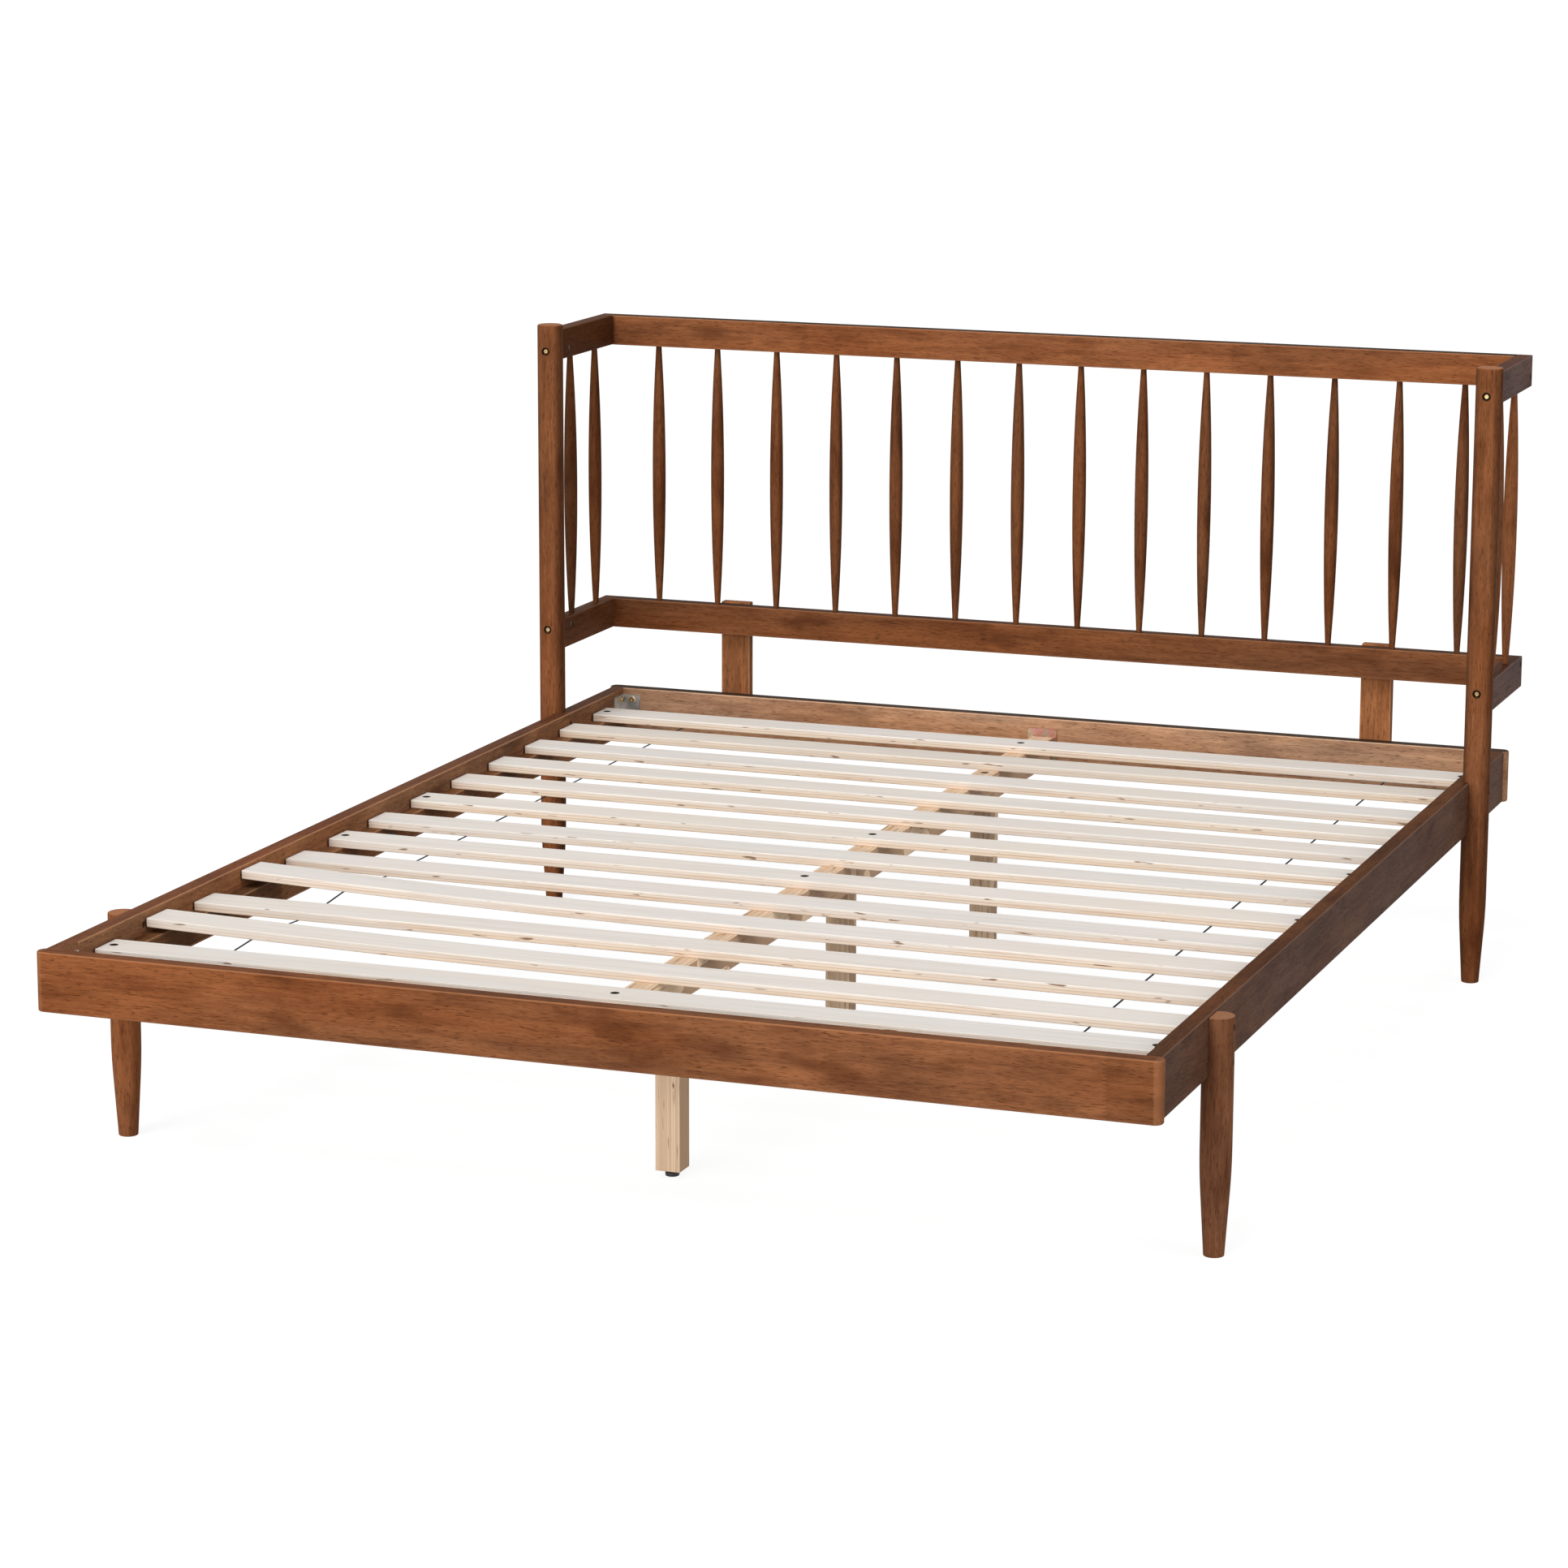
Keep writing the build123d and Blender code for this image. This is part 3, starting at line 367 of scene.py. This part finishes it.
def slatWood(number):
    low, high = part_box(f"slat_{number:02d}")
    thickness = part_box("slat_01")[1].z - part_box("slat_01")[0].z
    shift = (number * 3.7, number * 1.9, number * 5.3)
    paint, tree, shader = newPaint(f"slatPlywood{number:02d}", slatLook["sheen"])
    point = addNode(tree, "ShaderNodeTexCoord")
    place = point.outputs["Object"]
    split = addNode(tree, "ShaderNodeSeparateXYZ", {0: place}).outputs
    facing = addNode(tree, "ShaderNodeSeparateXYZ", {0: point.outputs["Normal"]}).outputs
    streak = noise(tree, place, (3.0, 120.0, 60.0), shift, 4.0, 0.6)
    grain = noise(tree, place, (22.0, 520.0, 200.0), shift, 3.0, 0.6)
    cloud = noise(tree, place, (2.2, 9.0, 5.0), shift, 2.0)
    grey = slatLook["faceGrey"]
    lines = spread(tree, streak, 0.44, 0.66, 0.0, 0.75)
    face = mixColour(tree, lines, (*slatLook["face"], 1), (*grey, 1))
    face = mixColour(tree, spread(tree, cloud, 0.45, 0.68, 0.0, 0.5), face, (*slatLook["faceWarm"], 1))
    face = mixColour(tree, spread(tree, grain, 0.55, 0.75, 0.0, 0.25), face, (*scaled(grey, 0.8), 1))
    lift = 0.0
    if number in slatLook["curls"]:
        rise = slatLook["curls"][number]
        half = (high.x - low.x) / 2
        left = calc(tree, "MINIMUM", split[0], 0.0)
        lift = calc(tree, "MULTIPLY", calc(tree, "MULTIPLY", left, left), rise / half**2)
    height = calc(tree, "SUBTRACT", calc(tree, "SUBTRACT", split[2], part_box("slat_01")[0].z), lift)
    ply = calc(tree, "DIVIDE", height, thickness)
    wander = noise(tree, place, (1.3, 0.0, 0.0), shift, 3.0, 0.7)
    ply = calc(tree, "MULTIPLY_ADD", calc(tree, "SUBTRACT", wander, 0.5), 0.30, ply)
    layers = colourRamp(tree, ply, slatLook["plies"])
    grime = noise(tree, place, (7.0, 0.0, 420.0), shift, 3.0, 0.6)
    glue = slatLook["plies"][4][1]
    layers = mixColour(tree, spread(tree, grime, 0.50, 0.68, 0.0, 0.45), layers, (*glue, 1))
    drift = noise(tree, place, (2.6, 0.0, 40.0), scaled(shift, 0.7), 2.0)
    layers = mixColour(tree, spread(tree, drift, 0.42, 0.62, 0.0, 0.5), layers, (*slatLook["faceGrey"], 1))
    blemish = noise(tree, place, (24.0, 0.0, 230.0), scaled(shift, 1.3), 2.0, 0.4)
    layers = mixColour(tree, spread(tree, blemish, 0.68, 0.73, 0.0, 0.9), layers, (*slatLook["knot"], 1))
    level = calc(tree, "ABSOLUTE", facing[2])
    colour = mixColour(tree, spread(tree, level, 0.55, 0.85), layers, face)
    tone = slatTones[number - 1]
    colour = mixColour(tree, 1.0, colour, (*tone, 1), "MULTIPLY")
    # Painted shade: dark discs at the screw holes
    for spot in slatHoles.get(number, ()):
        colour = paintedHoleShade(tree, colour, place, (*spot, 0.0), (1.0, 1.0, 0.0), slatLook["holeRadius"])
    tree.links.new(colour, shader.inputs["Base Color"])
    addBump(tree, shader, calc(tree, "ADD", grain, streak), 0.25, 0.0005)
    return paint


# Laminated veneer: thin layers side by side across the bed, with painted light on the faces turned to the
# sides
veneerLook = {
    "pale": (0.740, 0.560, 0.400),
    "deep": (0.560, 0.370, 0.230),
    # side: painted light, a factor that brightens the faces turned to the sides
    "side": (1.45, 1.5, 1.5, 1.0),
    "line": (0.270, 0.140, 0.070),
    "knot": (0.075, 0.035, 0.018),
    "layer": 0.0032,
    "sheen": {"Roughness": 0.6, "Specular IOR Level": 0.2},
}


def laminatedWood(name, axis, shift, tone, knotAndHoleSpots=()):
    paint, tree, shader = newPaint(name, veneerLook["sheen"])
    point = addNode(tree, "ShaderNodeTexCoord")
    place = point.outputs["Object"]
    split = addNode(tree, "ShaderNodeSeparateXYZ", {0: place}).outputs
    facing = addNode(tree, "ShaderNodeSeparateXYZ", {0: point.outputs["Normal"]}).outputs
    drift = noise(tree, place, alongGrain(axis, 5.0, 12.0), shift, 2.0)
    across = calc(tree, "MULTIPLY_ADD", drift, 0.0022, split[0])
    number = calc(tree, "FLOOR", calc(tree, "DIVIDE", across, veneerLook["layer"]))
    inLayer = calc(tree, "FRACT", calc(tree, "DIVIDE", across, veneerLook["layer"]))
    chance = addNode(tree, "ShaderNodeTexWhiteNoise", {"W": number}, noise_dimensions="1D").outputs["Value"]
    streak = noise(tree, place, alongGrain(axis, 8.0, 260.0), shift, 4.0, 0.65)
    level = calc(tree, "MULTIPLY_ADD", streak, 0.5, calc(tree, "MULTIPLY", chance, 0.6))
    shade = spread(tree, level, 0.1, 0.85)
    colour = mixColour(tree, shade, (*veneerLook["deep"], 1), (*veneerLook["pale"], 1))
    line = calc(tree, "LESS_THAN", inLayer, 0.13)
    line = calc(tree, "MULTIPLY", line, spread(tree, chance, 0.2, 0.9, 0.15, 0.75))
    colour = mixColour(tree, line, colour, (*veneerLook["line"], 1))
    stripe = noise(tree, place, alongGrain(axis, 16.0, 210.0), scaled(shift, 1.9), 2.0)
    colour = mixColour(tree, spread(tree, stripe, 0.60, 0.68, 0.0, 0.75), colour, (*veneerLook["line"], 1))
    for spot in knotAndHoleSpots:
        colour = knotAndHoleSpot(tree, colour, place, axis, *spot)
    # Painted light: faces turned to the sides brightened by the side factor
    sideLitShare = spread(tree, calc(tree, "ABSOLUTE", facing[0]), 0.6, 0.9)
    colour = mixColour(tree, sideLitShare, colour, mixColour(tree, 1.0, colour, veneerLook["side"], "MULTIPLY"))
    colour = mixColour(tree, 1.0, colour, (tone, tone, tone, 1), "MULTIPLY")
    tree.links.new(colour, shader.inputs["Base Color"])
    addBump(tree, shader, calc(tree, "SUBTRACT", streak, line), 0.25, 0.0005)
    return paint


# Metals: a plated surface with drifting tints and fine scuffs
metalLooks = {
    "bracketSteel": {
        "first": (0.46, 0.44, 0.43),
        "second": (0.64, 0.60, 0.56),
        "third": (0.38, 0.43, 0.42),
        "rough": 0.34,
    },
    "passivatedZinc": {
        "first": (0.34, 0.38, 0.20),
        "second": (0.46, 0.20, 0.17),
        "third": (0.30, 0.34, 0.28),
        "rough": 0.3,
    },
    "boltBrass": {
        "first": (0.46, 0.33, 0.15),
        "second": (0.58, 0.45, 0.24),
        "third": (0.34, 0.23, 0.10),
        "rough": 0.22,
    },
    "darkNut": {
        "first": (0.10, 0.09, 0.08),
        "second": (0.13, 0.11, 0.10),
        "third": (0.06, 0.055, 0.05),
        "rough": 0.4,
    },
    "brightZinc": {
        "first": (0.60, 0.60, 0.61),
        "second": (0.68, 0.67, 0.65),
        "third": (0.50, 0.50, 0.52),
        "rough": 0.3,
    },
    "blackScrew": {
        "first": (0.05, 0.045, 0.04),
        "second": (0.08, 0.07, 0.06),
        "third": (0.03, 0.028, 0.026),
        "rough": 0.45,
    },
}


# A bolt in the posts' front: bright brass inside a rim of painted shade, standing in for the shade of its
# counterbore
boltLook = {"x": 0.803, "z": (0.4765, 0.9525), "rimShade": (0.0028, 0.0036), "paintedShade": (0.02, 0.012, 0.006)}


def postBolt(name):
    paint, tree, shader = platedMetal("boltBrass")
    paint.name = name
    place = addNode(tree, "ShaderNodeTexCoord").outputs["Object"]
    split = addNode(tree, "ShaderNodeSeparateXYZ", {0: place}).outputs
    acrossX = calc(tree, "SUBTRACT", calc(tree, "ABSOLUTE", split[0]), boltLook["x"])
    upLow = calc(tree, "SUBTRACT", split[2], boltLook["z"][0])
    upHigh = calc(tree, "SUBTRACT", split[2], boltLook["z"][1])
    up = calc(tree, "MINIMUM", calc(tree, "ABSOLUTE", upLow), calc(tree, "ABSOLUTE", upHigh))
    away = addNode(tree, "ShaderNodeCombineXYZ", {0: acrossX, 2: up}).outputs[0]
    far = addNode(tree, "ShaderNodeVectorMath", {0: away}, operation="LENGTH").outputs["Value"]
    before = shader.inputs["Base Color"].links[0].from_socket
    # Painted shade: the head darkened away from its centre
    rimShade = mixColour(tree, spread(tree, far, *boltLook["rimShade"]), before, (*boltLook["paintedShade"], 1))
    tree.links.new(rimShade, shader.inputs["Base Color"])
    return paint


def platedMetal(name):
    look = metalLooks[name]
    paint, tree, shader = newPaint(name, {"Metallic": 1.0})
    place = addNode(tree, "ShaderNodeTexCoord").outputs["Object"]
    drift = noise(tree, place, (34.0, 34.0, 60.0), (2.0, 5.0, 1.0), 2.0)
    other = noise(tree, place, (70.0, 70.0, 90.0), (7.0, 3.0, 4.0), 3.0)
    scuff = noise(tree, place, (900.0, 900.0, 300.0), (1.0, 1.0, 1.0), 3.0, 0.7)
    colour = mixColour(tree, spread(tree, drift, 0.42, 0.58), (*look["first"], 1), (*look["second"], 1))
    colour = mixColour(tree, spread(tree, other, 0.5, 0.68, 0.0, 0.7), colour, (*look["third"], 1))
    tree.links.new(colour, shader.inputs["Base Color"])
    rough = spread(tree, scuff, 0.3, 0.7, look["rough"] - 0.07, look["rough"] + 0.12)
    tree.links.new(rough, shader.inputs["Roughness"])
    addBump(tree, shader, scuff, 0.1, 0.0002)
    return paint, tree, shader


# Woven strap and moulded glide
def wovenStrap():
    paint, tree, shader = newPaint("strapWebbing", {"Roughness": 0.85, "Specular IOR Level": 0.2})
    place = addNode(tree, "ShaderNodeTexCoord").outputs["Object"]
    weaves = []
    for turn in (1.0, -1.0):
        spun = addNode(tree, "ShaderNodeMapping", {"Vector": place, "Rotation": (0, 0, turn * math.pi / 4)})
        sockets = {"Vector": spun.outputs[0], "Scale": 320.0, "Distortion": 0.4}
        wave = addNode(tree, "ShaderNodeTexWave", sockets)
        weaves.append(wave.outputs["Fac"])
    cloth = calc(tree, "MULTIPLY", weaves[0], weaves[1])
    colour = mixColour(tree, cloth, (0.006, 0.007, 0.010, 1), (0.025, 0.028, 0.038, 1))
    tree.links.new(colour, shader.inputs["Base Color"])
    addBump(tree, shader, cloth, 0.5, 0.0004)
    return paint


def mouldedPlastic():
    paint, tree, shader = newPaint("glidePlastic", {"Specular IOR Level": 0.4})
    place = addNode(tree, "ShaderNodeTexCoord").outputs["Object"]
    speckle = noise(tree, place, (1400.0, 1400.0, 1400.0), (0, 0, 0), 2.0)
    colour = mixColour(tree, speckle, (0.010, 0.010, 0.011, 1), (0.022, 0.022, 0.024, 1))
    tree.links.new(colour, shader.inputs["Base Color"])
    tree.links.new(spread(tree, speckle, 0.3, 0.7, 0.42, 0.58), shader.inputs["Roughness"])
    addBump(tree, shader, speckle, 0.2, 0.0002)
    return paint


# Bare dowels inside the joints
def bareDowel():
    paint, tree, shader = newPaint("bareDowel", {"Roughness": 0.65, "Specular IOR Level": 0.2})
    place = addNode(tree, "ShaderNodeTexCoord").outputs["Object"]
    grain = noise(tree, place, (120.0, 120.0, 500.0), (3.0, 1.0, 2.0), 3.0)
    colour = mixColour(tree, grain, (0.62, 0.44, 0.27, 1), (0.78, 0.62, 0.43, 1))
    tree.links.new(colour, shader.inputs["Base Color"])
    addBump(tree, shader, grain, 0.2, 0.0003)
    return paint


# Holes of the front bolts: a place, the directions that count and a radius, for the painted shade around
# them
def postHoles(x):
    return tuple(((x, 0.0, z), (1.0, 0.0, 1.0), 0.0066) for z in boltLook["z"])


# How each stained piece is cut and toned; tone and tint carry painted light and shade for each piece besides
# its own tone, and the top and side factors are painted shade by face direction
stainedPieces = {
    "foot_rail": {
        "axis": "X", "shift": (0.0, 0.0, 0.0), "tone": 1.0, "board": True,
        "paintedTopShade": (0.72, 0.72, 0.72), "endBand": 0.3,
        "lengths": ((-2.0, 0.96), (0.243, 1.05, 0.15), (0.7315, 0.84, 0.55)),
        "knotAndHoleSpots": (((0.66, -1.055, 0.262), 0.04, 0.35), ((-0.42, -1.055, 0.27), 0.05, 0.25)),
    },
    "head_rail": {
        "axis": "X", "shift": (3.1, 1.2, 4.0), "tone": 1.75, "tint": (1.0, 1.5, 2.15),
        "board": True, "paintedTopShade": (0.12, 0.12, 0.12),
        "lengths": ((-2.0, 0.94), (-0.31, 1.04, 0.1), (0.36, 0.93, 0.2)),
        "knotAndHoleSpots": (((0.36, 1.012, 0.3), 0.05, 0.3), ((-0.33, 1.012, 0.31), 0.06, 0.25)),
    },
    "side_rail_left": {
        "axis": "Y", "shift": (5.2, 0.7, 2.0), "tone": 1.25, "tint": (1.0, 1.25, 1.5),
        "board": True, "paintedTopShade": (0.55, 0.42, 0.36),
        "lengths": ((-2.0, 1.0), (-0.35, 0.9, 0.2), (0.44, 0.8, 0.2)),
    },
    "side_rail_right": {
        "axis": "Y", "shift": (1.2, 6.7, 3.0), "tone": 0.48, "tint": (1.0, 1.4, 2.3), "board": True,
        "paintedTopShade": (0.85, 0.62, 0.36), "lengths": ((-2.0, 1.0), (0.1, 0.92, 0.15)),
    },
    "back_top_rail": {
        "axis": "X", "shift": (7.0, 2.0, 1.0), "tone": 0.98, "board": True,
        "paintedTopShade": (0.12, 0.12, 0.12), "endShade": 0.006,
        "lengths": ((-2.0, 0.98), (-0.4286, 1.1, 0.4), (0.32, 0.98, 0.1)),
        "knotAndHoleSpots": (((-0.61, 1.012, 0.965), 0.05, 0.4),),
    },
    "back_lower_rail": {
        "axis": "X", "shift": (4.0, 8.0, 5.0), "tone": 0.72, "board": True,
        "paintedTopShade": (0.35, 0.35, 0.35), "lengths": ((-2.0, 0.9), (-0.1, 1.0, 0.2), (0.5, 1.05, 0.1)),
        "knotAndHoleSpots": (((-0.06, 1.012, 0.465), 0.05, 0.4),),
    },
    "upper_wing_rail_left": {"axis": "Y", "shift": (2.0, 1.0, 6.0), "tone": 0.3, "board": True},
    "lower_wing_rail_left": {"axis": "Y", "shift": (6.0, 3.0, 2.0), "tone": 0.42, "board": True},
    "upper_wing_rail_right": {
        "axis": "Y", "shift": (9.0, 4.0, 2.0), "tone": 0.46, "tint": (1.0, 1.5, 3.0), "board": True,
        "paintedTopShade": (0.7, 0.4, 0.2),
    },
    "lower_wing_rail_right": {
        "axis": "Y", "shift": (8.0, 5.0, 7.0), "tone": 0.46, "tint": (1.0, 1.5, 3.0), "board": True,
        "paintedTopShade": (0.7, 0.4, 0.2),
    },
    "front_leg_left": {"axis": "Z", "shift": (0.3, 5.0, 0.2), "tone": 1.0, "endGrain": True},
    "front_leg_right": {
        "axis": "Z", "shift": (2.3, 1.0, 4.2), "tone": 0.84, "tint": (1.0, 1.1, 1.3),
        "endGrain": True,
    },
    "head_post_left": {
        "holes": postHoles(-0.803), "paintedSideShade": 0.5, "axis": "Z", "shift": (4.3, 2.0, 1.2),
        "tone": 0.85, "endGrain": True,
    },
    "head_post_right": {
        "holes": postHoles(0.803), "paintedSideShade": 0.5, "axis": "Z", "shift": (6.3, 3.0, 7.2),
        "tone": 0.9, "endGrain": True,
    },
    "back_spindles_left": {"axis": "Z", "shift": (1.3, 7.0, 3.2), "tone": 0.63, "paintedSideShade": 0.7},
    "back_spindles_right": {"axis": "Z", "shift": (3.3, 4.0, 9.2), "tone": 0.65, "paintedSideShade": 0.7},
    "wing_spindles_left": {"axis": "Z", "shift": (5.3, 6.0, 5.2), "tone": 0.57, "paintedSideShade": 0.7},
    "wing_spindles_right": {"axis": "Z", "shift": (7.3, 8.0, 1.2), "tone": 0.9},
    "back_strut_left": {
        "axis": "Z", "shift": (2.7, 3.0, 2.2), "tone": 1.2, "tint": (1.0, 1.1, 1.1), "board": True,
    },
    "back_strut_right": {
        "axis": "Z", "shift": (8.7, 1.0, 6.2), "tone": 1.3, "tint": (1.0, 1.1, 1.1), "board": True,
    },
    "slat_cleat_left": {
        "axis": "Y", "shift": (3.7, 2.0, 8.2), "tone": 0.9, "tint": (1.0, 1.2, 1.3), "board": True,
        "lengths": ((-2.0, 1.3), (-0.86, 0.7, 0.3), (-0.4, 1.0, 0.3), (0.1, 0.75, 0.3), (0.6, 0.95, 0.3)),
    },
    "slat_cleat_right": {
        "axis": "Y", "shift": (9.7, 5.0, 4.2), "tone": 0.9, "tint": (1.0, 1.2, 1.3), "board": True,
        "lengths": ((-2.0, 0.9), (-0.5, 1.1, 0.3), (0.3, 0.8, 0.3)),
    },
}
slatHoles = {  # where the screwed slats' holes stand
    1: ((-0.7535, -0.9132), (0.0, -0.9123), (0.7535, -0.9113)),
    6: ((-0.7535, -0.1644), (0.0, -0.1718), (0.7535, -0.1792)),
    8: ((-0.7535, 0.1353), (0.0, 0.1323), (0.7535, 0.1293)),
    13: ((-0.7535, 0.8902), (0.0, 0.8873), (0.7535, 0.8843)),
}
slatTones = (
    (1.00, 1.00, 1.00), (1.02, 1.01, 1.00), (1.00, 0.99, 0.98), (1.01, 1.00, 1.00), (0.99, 0.98, 0.98),
    (1.00, 0.99, 0.98), (0.98, 0.98, 0.98), (0.99, 0.98, 0.96), (0.97, 0.97, 0.97), (0.97, 0.97, 0.96),
    (0.96, 0.96, 0.96), (0.93, 0.90, 0.86), (0.96, 0.96, 0.96),
)
plainPieces = {
    "bracketSteel": ("corner_brackets",),
    "passivatedZinc": ("beam_hangers", "beam_hanger_screws"),
    "boltBrass": ("leg_bolts", "wing_rear_bolts", "corner_bracket_bolts"),
    "darkNut": ("barrel_nuts", "leg_sleeve_nuts"),
    "brightZinc": ("glide_inserts", "strap_staples"),
    "blackScrew": ("slat_screws", "cleat_screws", "strut_screws", "centre_leg_screws"),
}


def dress(node, paint):
    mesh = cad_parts[node].data
    mesh.materials.clear()
    mesh.materials.append(paint)


def dressAll():
    for node, look in stainedPieces.items():
        dress(node, stainedWood(f"stained_{node}", node, look))
    print("stained wood done")
    for number in range(1, len(slatTones) + 1):
        dress(f"slat_{number:02d}", slatWood(number))
    print("slats done")
    # Painted shade: a dark spot where a small hole stands near the front leg's top
    frontHoleShade = ((0.009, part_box("centre_leg_front")[0].y, 0.135), 0.006, 1.0)
    # Painted light and shade: the front leg's tone is raised and the legs further under the bed are darker
    dress("centre_leg_front", laminatedWood("legVeneerFront", 2, (1.0, 2.0, 3.0), 1.12, (frontHoleShade,)))
    dress("centre_leg_middle", laminatedWood("legVeneerMiddle", 2, (4.0, 2.0, 5.0), 0.9))
    dress("centre_leg_rear", laminatedWood("legVeneerRear", 2, (7.0, 3.0, 1.0), 0.85))
    dress("centre_beam", laminatedWood("beamVeneer", 1, (2.0, 6.0, 4.0), 1.0))
    for metal, nodes in plainPieces.items():
        paint = platedMetal(metal)[0]
        for node in nodes:
            dress(node, paint)
    dress("post_bolts", postBolt("postBoltBrass"))
    strap = wovenStrap()
    plastic = mouldedPlastic()
    for side in ("left", "right"):
        dress(f"slat_strap_{side}", strap)
    for place in ("front", "middle", "rear"):
        dress(f"levelling_glide_{place}", plastic)
    dress("locating_dowels", bareDowel())
    print("metal, strap and plastic done")


makeCamera()
makeSky()
makeLamps()
makeFloor()
bpy.context.scene.view_settings.view_transform = "Standard"
print("studio ready")
dressAll()
